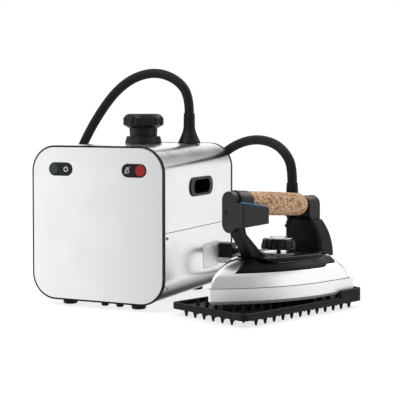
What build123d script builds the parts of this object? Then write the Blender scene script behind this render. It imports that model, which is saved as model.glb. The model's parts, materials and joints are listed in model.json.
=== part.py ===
"""Steam generator iron: a stainless steel boiler box with a filler cap, a steam hose and a hand iron
with a cork grip that stands on a studded silicone rest. Millimetres, +Z up, the floor at z = 0.

Each piece is modelled in the frame of its own unit and then placed in the row frame:
  boiler unit  x to the right, y from the front panel to the back, origin below the middle of the front
  iron unit    x to the right-hand side, y from the tip to the heel, origin below the middle of the rest
"""

import math
import os

from build123d import *

# ---- boiler box -----------------------------------------------------------------------------------
BOX_W, BOX_D, BOX_H, BOX_R = 221.0, 249.0, 230.0, 39.0
FOOT_H = 8.0
BOX_TOP = FOOT_H + BOX_H
SHEET = 1.2
SEAM_Z = FOOT_H + 106.0  # where the upper and the lower casing meet
SEAM_GAP = 0.9
TRIM_W, TRIM_Y = 1.7, 4.0  # black edge seal: its width seen from the front, and its depth
PANEL_T = 2.6
PANEL_PROUD = 0.6

# ---- controls -------------------------------------------------------------------------------------
PILL_W, PILL_H, PILL_Z = 40.0, 20.0, 203.0
POWER_X, LAMP_X = -60.5, 62.5
LENS_R, LENS_OFFSET = 8.2, 11.0
BUTTON_TRAVEL = 2.5

# ---- carrying recesses ----------------------------------------------------------------------------
CUP_Y, CUP_Z = 128.0, 175.0
CUP_L, CUP_H = 82.0, 29.0
POCKET_L, POCKET_H, POCKET_DEPTH = 58.0, 21.0, 26.0
CUP_PROUD = 1.4
CUP_WALL = 2.0

# ---- filler cap and tank --------------------------------------------------------------------------
CAP_X, CAP_Y = 2.0, 145.0
NECK_R, NECK_BORE = 16.0, 13.0
NECK_TOP = BOX_TOP + 10.0
COLLAR_TOP = BOX_TOP + 11.8
CAP_DISC_Z = (NECK_TOP + 2.0, BOX_TOP + 24.6)
KNOB_Z = (BOX_TOP + 24.9, BOX_TOP + 47.0)
KNOB_R, KNOB_LOBES = 32.0, 12
TANK_R, TANK_WALL, TANK_Z = 60.0, 1.5, 112.0
TANK_Y = (44.0, 214.0)

# ---- steam hose -----------------------------------------------------------------------------------
HOSE_D = 15.0
HOSE_OUT = (64.0, 183.0)  # where the hose leaves the top of the box
BOOT_TOP = BOX_TOP + 48.0
HOSE_COIL = (-66.0, 360.0)
HOSE_COIL_R = 84.0  # of the outer turn; the inner turn lies beside it

# ---- mains lead -----------------------------------------------------------------------------------
LEAD_D = 7.0
INLET_Y = (201.0, 222.0)
INLET_Z = (56.5, 79.5)
INLET_OUT = 20.0
BRACKET_Z = 48.0
LEAD_Y, LEAD_Z = 210.0, 66.5
RELIEF_DEPTH, RELIEF_END = 7.0, 144.0
LEAD_COIL = (84.0, 326.0)
LEAD_COIL_R = (29.0, 51.0)
LEAD_COIL_H = 14.5
PLUG_TAIL_END = (119.0, 354.5, 15.5)  # where the lead rises from the coil into the plug's tail

# ---- iron -----------------------------------------------------------------------------------------
REST_DX, REST_DY = 235.4, 89.9  # middle of the rest, from the boiler's origin
YAW = 21.8  # the iron's heel is turned this far to the right, degrees
SOLE_Z = (21.0, 43.0)
SOLE_HALF, SIDE_R, SIDE_TANGENT_Y = 66.0, 247.6, 46.0
HEEL_Y, HEEL_CORNER, NOSE_HALF = 116.0, 5.0, 3.0
# the cover's outlines: how far inside the sole's edge, where the heel is, and the height
COVER_SECTIONS = (
    (1.5, 108.5, 43.0), (3.0, 107.0, 51.0), (5.5, 104.5, 58.0), (9.5, 101.5, 63.5), (15.0, 98.5, 69.0),
    (22.0, 95.5, 74.0), (31.0, 91.0, 77.5),
)
COVER_WALL = 1.8
SHIELD_RISE, SHIELD_INSET, SHIELD_HEEL = 2.2, 9.0, 78.0
SHIELD_TIP_Y = -92.0
BASE_Z, BASE_INSET, BASE_HEEL, BASE_CORNER = (68.5, 81.5), 18.0, 82.0, 32.0
BASE_TOP = BASE_Z[1]
DIAL_Y, DIAL_R, DIAL_LOBES = 21.0, 26.0, 12
DIAL_Z = (88.5, 104.5)
DIAL_PLATE_R, DIAL_PLATE_T = 24.5, 1.3
GRIP_TILT = 4.2  # the grip falls towards the heel, degrees
GRIP_MID_Y, GRIP_MID_Z, GRIP_R = 24.0, 153.3, 17.0
GRIP_Y = (-49.0, 72.5)
POST_HALF = 11.4
HEAD_Y = (-83.0, -73.0)
HEAD_HALF, HEAD_Z = 13.0, (118.0, 176.5)
SWITCH_X = (12.0, 29.0)
SWITCH_END, SWITCH_TOP, SWITCH_SLOPE = -30.0, 161.5, -0.17  # its top falls from the front at this slope
LEVER_X, LEVER_Y = (19.4, 26.6), (-78.8, -32.0)
TRIGGER_PIVOT, PIVOT_R = (-76.0, 159.0), 1.2
REAR_CAP_Y, REAR_CAP_R = (73.5, 100.0), 14.2
REAR_TOP = 127.0
# the rear housing's outlines: height, middle in y, length, width
REAR_SECTIONS = (
    (74.0, 92.0, 32.0, 68.0), (90.0, 91.6, 31.5, 65.5), (106.0, 90.2, 30.0, 58.0),
    (REAR_TOP, 85.2, 28.5, 38.0),
)
HOSE_IN = (-30.5, 84.5)  # where the hose enters the rear housing
IRON_BOOT_TOP = 180.0

# ---- silicone rest --------------------------------------------------------------------------------
REST_L, REST_W, REST_CORNER = 252.0, 146.0, 9.0
REST_Z, RIM_TOP, RIM_W = (8.5, 12.0), 17.5, 4.5
STUD_PITCH, STUD_COLUMNS, STUD_ROWS = 18.0, 12, 6
STUD_BASE_R, STUD_TIP_R = 3.4, 1.5
CORNER_WALL_TOP, CORNER_WALL_L = 27.5, 50.0

# ---- placement: the row's origin is below the middle of everything but the leads ------------------
sin_yaw, cos_yaw = math.sin(math.radians(YAW)), math.cos(math.radians(YAW))
rest_half = (REST_L / 2 - REST_CORNER, REST_W / 2 - REST_CORNER)
rest_reach_x = rest_half[0] * sin_yaw + rest_half[1] * cos_yaw + REST_CORNER
rest_reach_y = rest_half[0] * cos_yaw + rest_half[1] * sin_yaw + REST_CORNER
ROW_X = (REST_DX + rest_reach_x - BOX_W / 2 - CUP_PROUD) / 2
ROW_Y = (BOX_D + REST_DY - rest_reach_y) / 2
BOILER = Pos(-ROW_X, -ROW_Y, 0)
IRON = Pos(REST_DX - ROW_X, REST_DY - ROW_Y, 0) * Rot(0, 0, -YAW)

nodes = {}


def add(name, shape, place):
    """Keeps a sub-part, in the row frame, under its node name."""
    nodes[name] = place * shape


# ---- small helpers --------------------------------------------------------------------------------
def tube_z(x, y, r, z0, z1, bore=0.0):
    """An upright cylinder, or a ring where it has a bore."""
    ring = Circle(r) - Circle(bore) if bore else Circle(r)
    return extrude(Pos(x, y, z0) * ring, amount=z1 - z0)


def tube_y(x, z, r, y0, y1):
    """A cylinder that lies along y."""
    return extrude(Plane((x, y0, z), x_dir=(1, 0, 0), z_dir=(0, 1, 0)) * Circle(r), amount=y1 - y0)


def block(x, y, z):
    """A box from the pairs of its limits."""
    size = [b - a for a, b in (x, y, z)]
    return Pos(*[(a + b) / 2 for a, b in (x, y, z)]) * Box(*size)


def turned(profile):
    """A solid of revolution about z from (radius, z) points."""
    points = [(r, 0, z) for r, z in profile]
    return revolve(make_face(Polyline(*points, close=True)), axis=Axis.Z)


def along_y(sketch, y0, y1):
    """Extrudes a sketch drawn in x and z from y0 to y1."""
    plane = Plane((0, y0, 0), x_dir=(1, 0, 0), z_dir=(0, -1, 0))
    return extrude(plane * sketch, amount=y1 - y0, dir=(0, 1, 0))


def along_x(points, x0, x1):
    """Extrudes a profile of (y, z) points from x0 to x1."""
    face = make_face(Polyline(*[(x0, y, z) for y, z in points], close=True))
    return extrude(face, amount=x1 - x0, dir=(1, 0, 0))


def box_outline(inset):
    """The rounded square outline of the boiler box, drawn in x and z."""
    outline = RectangleRounded(BOX_W - 2 * inset, BOX_H - 2 * inset, BOX_R - inset)
    return Pos(0, FOOT_H + BOX_H / 2) * outline


def corner_radii(points, share=0.45):
    """The largest arc that fits at each inner corner of a route of straight runs."""
    radii = []
    for a, b, c in zip(points, points[1:], points[2:]):
        back, ahead = Vector(*b) - Vector(*a), Vector(*c) - Vector(*b)
        shorter = min(back.length, ahead.length)
        radii.append(share * shorter / math.tan(math.radians(back.get_angle(ahead)) / 2))
    return radii


def lead_tube(name, points, diameter):
    """The plain tube of a cord along its route, and a line that says how it came out."""
    radii = corner_radii(points)
    path = FilletPolyline(*points, radius=radii)
    tube = sweep(Plane(origin=path @ 0, z_dir=path % 0) * Circle(diameter / 2), path=path)
    share = tube.volume / (math.pi * diameter**2 / 4 * path.length)
    print(f"{name}: {path.length:.0f} mm, volume share {share:.3f}, radii", [round(r) for r in radii])
    return tube


# ---- boiler: casing -------------------------------------------------------------------------------
def pill(x, grow=0.0):
    return Pos(x, PILL_Z) * SlotOverall(PILL_W + 2 * grow, PILL_H + 2 * grow)


def edge_seal():
    """Black seal round a panel: a lip in front and a flange behind the panel."""
    lip = along_y(box_outline(0) - box_outline(TRIM_W), 0, TRIM_Y)
    flange = along_y(box_outline(TRIM_W) - box_outline(7.0), PANEL_T - PANEL_PROUD, TRIM_Y)
    return lip + flange


def panel():
    """A flat polished panel with a softened front edge."""
    plate = along_y(box_outline(TRIM_W), -PANEL_PROUD, PANEL_T - PANEL_PROUD)
    return fillet(plate.faces().sort_by(Axis.Y)[0].edges(), 0.5)


def casing():
    """The folded sheet between the two panels, before it is split at the seam."""
    wall = box_outline(0.6) - box_outline(0.6 + SHEET)
    return along_y(wall, TRIM_Y, BOX_D - TRIM_Y)


def cup_outline(length, height):
    """An outline with round ends on the side wall, drawn in y and z."""
    return Pos(CUP_Y, CUP_Z) * RectangleRounded(length, height, height / 2 - 1.0)


def on_side(sketch, x0, x1):
    """Extrudes a sketch drawn in y and z from x0 to x1."""
    return extrude(Plane((x0, 0, 0), x_dir=(0, 1, 0), z_dir=(1, 0, 0)) * sketch, amount=x1 - x0)


def handle_cup():
    """The right-hand carrying recess: a flange on the wall and a closed pocket behind it."""
    face = BOX_W / 2 - 0.6
    flange = on_side(cup_outline(CUP_L, CUP_H), face, BOX_W / 2 + CUP_PROUD)
    flange = fillet(flange.faces().sort_by(Axis.X)[-1].edges(), 1.2)
    back = face - POCKET_DEPTH
    shell = on_side(cup_outline(POCKET_L + 2 * CUP_WALL, POCKET_H + 2 * CUP_WALL), back - CUP_WALL, face)
    pocket = on_side(cup_outline(POCKET_L, POCKET_H), back, BOX_W / 2 + CUP_PROUD + 1)
    return flange + shell - pocket


def make_casing():
    whole = casing()
    slot = on_side(cup_outline(POCKET_L + 2 * CUP_WALL + 0.6, POCKET_H + 2 * CUP_WALL + 0.6), -BOX_W, BOX_W)
    far = 2 * BOX_D
    upper = whole & block((-far, far), (-far, far), (SEAM_Z, far))
    upper -= slot
    upper -= tube_z(CAP_X, CAP_Y, NECK_R + 0.4, BOX_TOP - 10, BOX_TOP + 10)
    upper -= tube_z(*HOSE_OUT, 6.0, BOX_TOP - 10, BOX_TOP + 10)
    lower = whole & block((-far, far), (-far, far), (-far, SEAM_Z - SEAM_GAP))
    add("upper_casing", upper, BOILER)
    add("lower_casing", lower, BOILER)

    front = panel() - along_y(pill(POWER_X, 0.1), -5, 5) - along_y(pill(LAMP_X, 0.1), -5, 5)
    add("front_panel", front, BOILER)
    add("front_trim", edge_seal(), BOILER)
    to_back = Pos(0, BOX_D, 0) * Rot(0, 0, 180)
    vents = [Pos(x, FOOT_H + 45 + 9 * k) * SlotOverall(34, 3.4) for x in (-50, 50) for k in range(5)]
    back = to_back * panel()
    back -= along_y(Sketch() + vents, BOX_D - 10, BOX_D + 5)
    add("rear_panel", back, BOILER)
    add("rear_trim", to_back * edge_seal(), BOILER)

    right = handle_cup()
    add("handle_cup_right", right, BOILER)
    add("handle_cup_left", mirror(right, about=Plane.YZ), BOILER)


def make_base():
    feet = Part() + [
        Pos(x, y, 0) * turned(((0, 0), (9.5, 0), (10.8, 1.5), (10.8, FOOT_H + 0.6), (0, FOOT_H + 0.6)))
        for x in (-58, 58)
        for y in (22, 222)
    ]
    add("base_feet", feet, BOILER)
    drain = turned(((0, 1.6), (4.6, 1.6), (5.6, 3.2), (5.6, FOOT_H + 0.6), (0, FOOT_H + 0.6)))
    add("drain_caps", Part() + [Pos(x, 16, 0) * drain for x in (5, 30)], BOILER)


def make_screws():
    """Countersunk heads on the side walls at the corners, and two studs on top."""
    head = turned(((0, 0), (2.6, 0), (2.3, 1.1), (0.9, 1.3), (0, 0.8)))
    side_x = BOX_W / 2 - 0.6
    outward = {1: Rot(0, 90, 0), -1: Rot(0, -90, 0)}
    places = [
        Pos(s * side_x, y, z) * outward[s] for s in (-1, 1) for y in (11, BOX_D - 11) for z in (106, 34)
    ]
    places += [Pos(x, 226, BOX_TOP - 0.6) for x in (9, -40)]
    screws = Part() + [p * head for p in places]
    add("casing_screws", screws, BOILER)


# ---- boiler: controls -----------------------------------------------------------------------------
def bezel(x, lens_x):
    """A black pill that stands a little proud of the panel, with the seat of its round lens."""
    body = along_y(pill(x), -2.0, 6.0)
    body = fillet(body.faces().sort_by(Axis.Y)[0].edges(), 0.8)
    return body - tube_y(lens_x, PILL_Z, LENS_R + 0.2, -4, 8)


def lens(x, back):
    """A round cap with a slightly domed face."""
    body = tube_y(x, PILL_Z, LENS_R, -2.6, back)
    return fillet(body.faces().sort_by(Axis.Y)[0].edges(), 1.0)


def make_controls():
    power_lens, lamp_lens = POWER_X - LENS_OFFSET, LAMP_X + LENS_OFFSET
    add("power_bezel", bezel(POWER_X, power_lens), BOILER)
    add("lamp_bezel", bezel(LAMP_X, lamp_lens), BOILER)
    add("power_button", lens(power_lens, 9.0), BOILER)
    lamp = lens(lamp_lens, 9.0) + tube_y(lamp_lens, PILL_Z, LENS_R + 0.2, 6.0, 9.0)
    add("lamp_lens", lamp, BOILER)
    half = 9.0
    depth = (9 + BUTTON_TRAVEL + 0.5, 30)
    switch = block((power_lens - half, power_lens + half), depth, (PILL_Z - half, PILL_Z + half))
    add("power_switch", switch, BOILER)
    board = block((-92, 40), (31, 32.6), (176, 196))
    parts = [block((x, x + 12), (32.6, 41), (179, 192)) for x in (-80, -50, -20, 12)]
    add("control_board", board + parts, BOILER)


# ---- boiler: tank and steam circuit ---------------------------------------------------------------
def make_tank():
    y0, y1 = TANK_Y
    middle = Pos(0, 0, TANK_Z)

    def vessel(r, front, back):
        body = tube_y(0, 0, r, front, back)
        return fillet(body.edges().filter_by(GeomType.CIRCLE), 18.0)

    outer, inner = vessel(TANK_R, y0, y1), vessel(TANK_R - TANK_WALL, y0 + TANK_WALL, y1 - TANK_WALL)
    shell = middle * (outer - inner)
    shell -= tube_y(0, TANK_Z, 20, y1 - 5, y1 + 5)
    shell -= tube_z(CAP_X, CAP_Y, NECK_BORE, TANK_Z, BOX_TOP)
    add("boiler_tank", shell, BOILER)

    neck = tube_z(CAP_X, CAP_Y, NECK_R, TANK_Z + 20, NECK_TOP, bore=NECK_BORE) - middle * outer
    add("filler_neck", neck, BOILER)
    cradle = [block((-70, 70), (y, y + 3), (FOOT_H + 0.6 + SHEET, TANK_Z - 25)) for y in (70, 185)]
    add("tank_cradles", Part() + cradle - middle * outer, BOILER)

    flange = tube_y(0, TANK_Z, 28, y1, y1 + 5)
    plug = tube_y(0, TANK_Z, 19.7, y1 - 3, y1)
    legs = [tube_y(x, TANK_Z - 8, 4, 92, y1 - 3) for x in (-11, 11)]
    bridge = extrude(Plane((-11, 92, TANK_Z - 8), z_dir=(1, 0, 0)) * Circle(4), amount=22)
    add("heater", flange + plug + legs + bridge, BOILER)

    switch = tube_z(0, 84, 11, TANK_Z + 20, 204) + tube_z(0, 84, 6, 204, 212)
    add("pressure_switch", switch - middle * outer, BOILER)

    valve_x, valve_y = HOSE_OUT
    valve = block((valve_x - 17, valve_x + 13), (valve_y - 13, valve_y + 13), (186, 218))
    add("solenoid_valve", valve + tube_z(valve_x, valve_y, 9, 218, 226), BOILER)
    route = FilletPolyline((26, valve_y, 150), (26, valve_y, 202), (valve_x - 17, valve_y, 202), radius=10)
    inlet = sweep(Plane(origin=route @ 0, z_dir=route % 0) * Circle(4), path=route) - middle * outer
    riser = tube_z(valve_x, valve_y, 4, 226, BOX_TOP)
    add("steam_pipes", Part() + [inlet, riser], BOILER)


def make_cap():
    bore = NECK_R + 0.2
    collar = turned((
        (bore, BOX_TOP), (29, BOX_TOP), (29, BOX_TOP + 2.5), (26.5, COLLAR_TOP), (bore, COLLAR_TOP),
    ))
    on_cap = Pos(CAP_X, CAP_Y, 0)
    add("filler_collar", on_cap * fillet(collar.edges().sort_by(Axis.Z)[-2:], 0.8), BOILER)

    low, high = CAP_DISC_Z
    stem_r, hub_r = NECK_BORE - 0.5, 10.0
    profile = (
        (0, low - 15), (stem_r - 2, low - 15), (stem_r, low - 13), (stem_r, low),
        (21.5, low), (22.3, high), (hub_r, high), (hub_r, high + 13), (0, high + 13),
    )
    add("cap_plug", on_cap * turned(profile), BOILER)
    seal = tube_z(0, 0, NECK_R - 0.3, NECK_TOP, low, bore=stem_r)
    add("cap_seal", on_cap * seal, BOILER)

    z0, z1 = KNOB_Z
    body = turned((
        (0, z0), (24, z0), (KNOB_R, z0 + 5), (KNOB_R, z1 - 7), (KNOB_R - 4, z1 - 2),
        (KNOB_R - 8, z1), (0, z1),
    ))
    flute = tube_z(KNOB_R + 3.4, 0, 5.6, z0 - 1, z1 + 1)
    body -= [Rot(0, 0, 360 / KNOB_LOBES * k) * flute for k in range(KNOB_LOBES)]
    body -= tube_z(0, 0, hub_r + 0.3, z0 - 1, z0 + 13.8)
    body -= turned(((0, z1 - 1.2), (16, z1 - 1.2), (17.2, z1 + 1), (0, z1 + 1)))
    add("cap_knob", on_cap * body, BOILER)


# ---- steam hose -----------------------------------------------------------------------------------
def make_boiler_boot():
    x, y = HOSE_OUT
    r = HOSE_D / 2
    boot = turned((
        (0, BOX_TOP), (17.6, BOX_TOP), (17.6, BOX_TOP + 2.5), (14.5, BOX_TOP + 9), (r + 3.0, BOX_TOP + 19),
        (r + 1.7, BOX_TOP + 26), (r + 1.3, BOOT_TOP), (0, BOOT_TOP),
    ))
    add("hose_boot_boiler", Pos(x, y, 0) * boot, BOILER)


HOSE_OVER_THE_BOX = (
    (*HOSE_OUT, BOOT_TOP), (64, 183, 313), (45, 183, 338), (9, 183, 352), (-31, 183, 346),
    (-67, 184, 324), (-97, 185, 290), (-125, 187, 250), (-149, 191, 207), (-162, 197, 158),
    (-169, 206, 110), (-176, 217, 62.5), (-168, 238, 33.5), (-148, 258, 15), (-122, 272, 7.5),
    (-92, 276.4, 7.5), (-66, 276, 7.5),
)
HOSE_TO_THE_IRON = (
    (-66, 276, 23.4), (-36, 276.4, 23.8), (-8, 278, 36), (12, 282, 62), (26, 285, 98), (33, 286, 138),
    (45, 286, 178), (68, 281, 209), (99, 267, 229), (134, 243, 241), (170, 218, 245), (205, 196, 239),
    (228, 182, 224),
)


def iron_to_boiler(x, y):
    """A point of the iron's plan, in the boiler's frame."""
    return REST_DX + x * cos_yaw + y * sin_yaw, REST_DY - x * sin_yaw + y * cos_yaw


def make_hose():
    entry = iron_to_boiler(*HOSE_IN)
    add("steam_hose_front", lead_tube("steam_hose_front", HOSE_OVER_THE_BOX, HOSE_D), BOILER)
    to_iron = (*HOSE_TO_THE_IRON, (*entry, 204), (*entry, IRON_BOOT_TOP))
    add("steam_hose_rear", lead_tube("steam_hose_rear", to_iron, HOSE_D), BOILER)
    outer = HOSE_COIL_R + HOSE_D / 2
    ring = tube_z(*HOSE_COIL, outer, 0, HOSE_D, bore=outer - 2 * HOSE_D)
    add("steam_hose_coil", fillet(ring.edges(), 0.4 * HOSE_D), BOILER)


# ---- mains lead -----------------------------------------------------------------------------------
LEAD_ROUTE = (
    (RELIEF_END, LEAD_Y, LEAD_Z), (153.5, LEAD_Y, LEAD_Z), (165, 211, 62), (174, 213, 51.5),
    (177.5, 217, 37.5), (174.5, 224, 23), (165.5, 233, 10.5), (154, 245, 4), (143, 262, 3.5),
    (135, 282, 3.5), (131.6, 304, 3.5), (131.5, 326, 3.5),
)


def make_lead():
    side = BOX_W / 2 - 0.6
    y0, top = INLET_Y[0], INLET_Z[0]
    bracket = block((side, side + INLET_OUT - 1), (y0 + 1, INLET_Y[1] + 12), (BRACKET_Z, top))
    bracket -= block((side - 1, side + INLET_OUT - 2.5), (y0 + 2.5, BOX_D), (0, top - 1.5))
    add("inlet_bracket", bracket, BOILER)
    gland = block((side, side + INLET_OUT), INLET_Y, INLET_Z)
    gland = fillet(gland.faces().sort_by(Axis.X)[-1].edges(), 2.5)
    start, out = side + INLET_OUT - RELIEF_DEPTH, side + INLET_OUT
    at_lead = Pos(0, LEAD_Y, LEAD_Z) * Rot(0, 90, 0)
    add("inlet_block", gland - at_lead * tube_z(0, 0, 5.2, start, out + 1), BOILER)
    stem = (
        (0, start), (5.2, start), (5.2, out + 4), (6.3, out + 6), (6.3, out + 10),
        (4.4, RELIEF_END), (0, RELIEF_END),
    )
    add("lead_strain_relief", at_lead * turned(stem), BOILER)
    add("mains_lead", lead_tube("mains_lead", LEAD_ROUTE, LEAD_D), BOILER)
    r_in, r_out = LEAD_COIL_R
    coil = tube_z(*LEAD_COIL, r_out, 0, LEAD_COIL_H, bore=r_in)
    add("mains_lead_coil", fillet(coil.edges(), 3.0), BOILER)

    plug_y, plug_z = LEAD_COIL[1] + 36.0, LEAD_COIL_H + 13.0
    body = Pos(LEAD_COIL[0] - 17, plug_y, plug_z) * Box(34, 26, 26)
    body = fillet(body.edges(), 4.0)
    tail_start, tail_end = Vector(LEAD_COIL[0] - 4, plug_y, plug_z), Vector(*PLUG_TAIL_END)
    way = tail_end - tail_start
    tail = Solid.make_cone(6.4, 4.4, way.length, Plane(tail_start, z_dir=way))
    pins = [Pos(LEAD_COIL[0] - 43, plug_y + dy, plug_z - 3) * Box(18, 1.6, 6.4) for dy in (-6.3, 6.3)]
    earth_at = Plane((LEAD_COIL[0] - 34, plug_y, plug_z + 7), z_dir=(-1, 0, 0))
    earth = extrude(earth_at * Circle(2.4), amount=18)
    add("mains_plug", body + tail, BOILER)
    add("mains_plug_pins", Part() + pins + [earth] - body, BOILER)


# ---- silicone rest --------------------------------------------------------------------------------
def rest_outline(inset):
    return RectangleRounded(REST_W - 2 * inset, REST_L - 2 * inset, REST_CORNER - inset * 0.5)


def make_rest():
    low, top = REST_Z
    tray = extrude(Pos(0, 0, low) * rest_outline(0), amount=RIM_TOP - low)
    tray -= extrude(Pos(0, 0, top) * rest_outline(RIM_W), amount=RIM_TOP)
    tray = fillet(tray.faces().sort_by(Axis.Z)[-1].edges(), 1.2)
    wall = extrude(Pos(0, 0, low) * (rest_outline(0) - rest_outline(RIM_W)), amount=CORNER_WALL_TOP - low)
    back, side = REST_L / 2, REST_W / 2
    for s in (-1, 1):
        reach = s * (side - 0.6 * CORNER_WALL_L)
        window = block(sorted((reach, s * (side + 1))), (back - CORNER_WALL_L, back + 1), (low, 40))
        slope = [(back - CORNER_WALL_L - 2, RIM_TOP), (back - CORNER_WALL_L + 4, CORNER_WALL_TOP + 1),
                 (back - CORNER_WALL_L - 2, CORNER_WALL_TOP + 1)]
        tray += (wall & window) - along_x(slope, -side - 2, side + 2)
    columns = [(k - (STUD_COLUMNS - 1) / 2) * STUD_PITCH for k in range(STUD_COLUMNS)]
    rows = [(k - (STUD_ROWS - 1) / 2) * STUD_PITCH for k in range(STUD_ROWS)]
    edge = 4.6
    below = [(x, y) for x in rows + [-REST_W / 2 + edge, REST_W / 2 - edge] for y in columns]
    below += [(x, y) for x in rows for y in (-REST_L / 2 + edge, REST_L / 2 - edge)]
    top = low + 0.4
    foot = turned(((0, 0), (STUD_TIP_R - 0.6, 0), (STUD_TIP_R, 0.8), (STUD_BASE_R, top), (0, top)))
    stud = turned(((0, top - 0.4), (STUD_BASE_R, top - 0.4), (STUD_TIP_R, SOLE_Z[0] - 0.8),
                   (STUD_TIP_R - 0.6, SOLE_Z[0]), (0, SOLE_Z[0])))
    tray += [Pos(x, y, 0) * foot for x, y in below] + [Pos(x, y, 0) * stud for x in rows for y in columns]
    add("silicone_rest", tray, IRON)


# ---- iron: sole and cover -------------------------------------------------------------------------
def iron_outline(inset, heel=None, corner=None):
    """The iron's plan: a blunt tip, two long side arcs, straight flanks and a heel with round corners."""
    r = SIDE_R - inset
    cx = SOLE_HALF - SIDE_R
    half = SOLE_HALF - inset
    heel = heel or HEEL_Y - inset
    corner = corner or HEEL_CORNER + 0.45 * inset
    tip = SIDE_TANGENT_Y - math.sqrt(r**2 - (NOSE_HALF - cx) ** 2)
    turn = math.atan2(SIDE_TANGENT_Y - tip, NOSE_HALF - cx) / 2
    mid = (cx + r * math.cos(turn), SIDE_TANGENT_Y - r * math.sin(turn))
    side = ThreePointArc((NOSE_HALF, tip), mid, (half, SIDE_TANGENT_Y))
    flank = Line((half, SIDE_TANGENT_Y), (half, heel - corner))
    bend = corner * (1 - math.sqrt(0.5))
    round_right = ThreePointArc((half, heel - corner), (half - bend, heel - bend), (half - corner, heel))
    right = [side, flank, round_right]
    left = [mirror(edge, about=Plane.YZ) for edge in right]
    nose = ThreePointArc((-NOSE_HALF, tip), (0, tip - 1.6), (NOSE_HALF, tip))
    back = Line((half - corner, heel), (corner - half, heel))
    return make_face([nose, *right, back, *left])


def dome(inset, rise):
    """The cover's domed form, filled, with its sides moved in by inset and its top moved up by rise."""
    return loft([
        Pos(0, 0, z + (rise if z > SOLE_Z[1] else 0)) * iron_outline(d + inset, heel - inset, 9 + 0.3 * d)
        for d, heel, z in COVER_SECTIONS
    ])


def dial_hole():
    return tube_z(0, DIAL_Y, 6, 40, 100)


def make_sole():
    low, high = SOLE_Z
    edge = loft([Pos(0, 0, low) * iron_outline(4.5), Pos(0, 0, low + 5) * iron_outline(0)])
    sole = edge + extrude(Pos(0, 0, low + 5) * iron_outline(0), amount=high - low - 5)
    ports = [(x, y) for y in range(-80, 90, 34) for x in (-24, 24) if abs(x) < 50 + y / 3]
    sole -= [Pos(x, y, low - 1) * extrude(Circle(1.6), amount=7) for x, y in ports]
    add("soleplate", sole, IRON)
    path = FilletPolyline((-26, 84, 48.2), (-26, -30, 48.2), (26, -30, 48.2), (26, 84, 48.2), radius=18)
    element = sweep(Plane(origin=path @ 0, z_dir=path % 0) * Circle(4.2), path=path)
    add("heating_element", element, IRON)


def shield_form():
    """What the heat shield covers: the dome, a little higher, with a notched front, short at the heel."""
    plan = extrude(Pos(0, 0, 50) * iron_outline(SHIELD_INSET, SHIELD_HEEL, 24), amount=50)
    tongues = block((-54, -44), (50, 84), (50, 100)) + block((44, 54), (50, 84), (50, 100))
    form = dome(0, SHIELD_RISE) & (plan + tongues)
    tip = SHIELD_TIP_Y
    front = [(-120, 40), (tip, 40), (tip, 60), (tip + 30, 79), (tip + 30, 84), (-120, 84)]
    return form - along_x(front, -80, 80)


def make_cover():
    outer = dome(0, 0)
    add("iron_cover", outer - dome(COVER_WALL, -COVER_WALL) - dial_hole(), IRON)
    add("heat_shield", shield_form() - outer - dial_hole(), IRON)


# ---- iron: handle ---------------------------------------------------------------------------------
def on_grip(y):
    """The height of the grip's axis at y."""
    return GRIP_MID_Z - (y - GRIP_MID_Y) * math.tan(math.radians(GRIP_TILT))


def grip_place(y):
    """A place on the grip's axis, with z along the grip towards the heel."""
    fall = math.tan(math.radians(GRIP_TILT))
    return Location(Plane((0, y, on_grip(y)), x_dir=(1, 0, 0), z_dir=(0, 1, -fall)))


def grip_round(r, y0, y1):
    return grip_place(y0) * extrude(Circle(r), amount=y1 - y0)


def base_tray():
    """The black tray on the shield, with a groove round its rim and a swept front."""
    low, high = BASE_Z
    outline = iron_outline(BASE_INSET, BASE_HEEL, BASE_CORNER)
    lid = iron_outline(BASE_INSET + 1.0, BASE_HEEL - 1.0, BASE_CORNER - 1.0)
    tray = extrude(Pos(0, 0, low) * outline, amount=high - 1.0 - low)
    tray += loft([Pos(0, 0, high - 1.0) * outline, Pos(0, 0, high) * lid])
    tray -= along_x([(-120, high + 1), (-120, low - 1), (-8, low - 1), (-46, high + 1)], -80, 80)
    waist = iron_outline(10, 100) - iron_outline(BASE_INSET + 2.0, BASE_HEEL - 2.0, BASE_CORNER)
    return tray - extrude(Pos(0, 0, high - 4.8) * waist, amount=1.6)


def make_base_frame():
    """The base tray and the slanted front post, which stand on the heat shield."""
    front = [(-73, 139), (-73, 121), (-69.6, 116.7), (-61.6, 106.2), (-53.7, 94.7), (-44, 78)]
    back = [(-16, 78), (-19, 82), (-30.2, 89.1), (-47.8, 105.7), (-58.3, 115.2), (-60.8, 123), (-61, 139)]
    post = along_x(front + back, -POST_HALF, POST_HALF)
    post = fillet(post.edges().filter_by(Axis.X), 1.2)
    line = [(-22, 86.5), (-49.5, 111.2), (-50.5, 110.2), (-23, 85.5)]
    for x0, x1 in ((-POST_HALF - 1, -POST_HALF + 0.8), (POST_HALF - 0.8, POST_HALF + 1)):
        post -= Pos(0, -5.5, -3.5) * along_x(line, x0, x1)
    frame = base_tray() + post - shield_form() - dome(0, 0)
    add("handle_frame", frame - dial_hole(), IRON)


def switch_top(y):
    """The height of the switch housing's sloping top."""
    return SWITCH_TOP + (y - HEAD_Y[0]) * SWITCH_SLOPE


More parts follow.
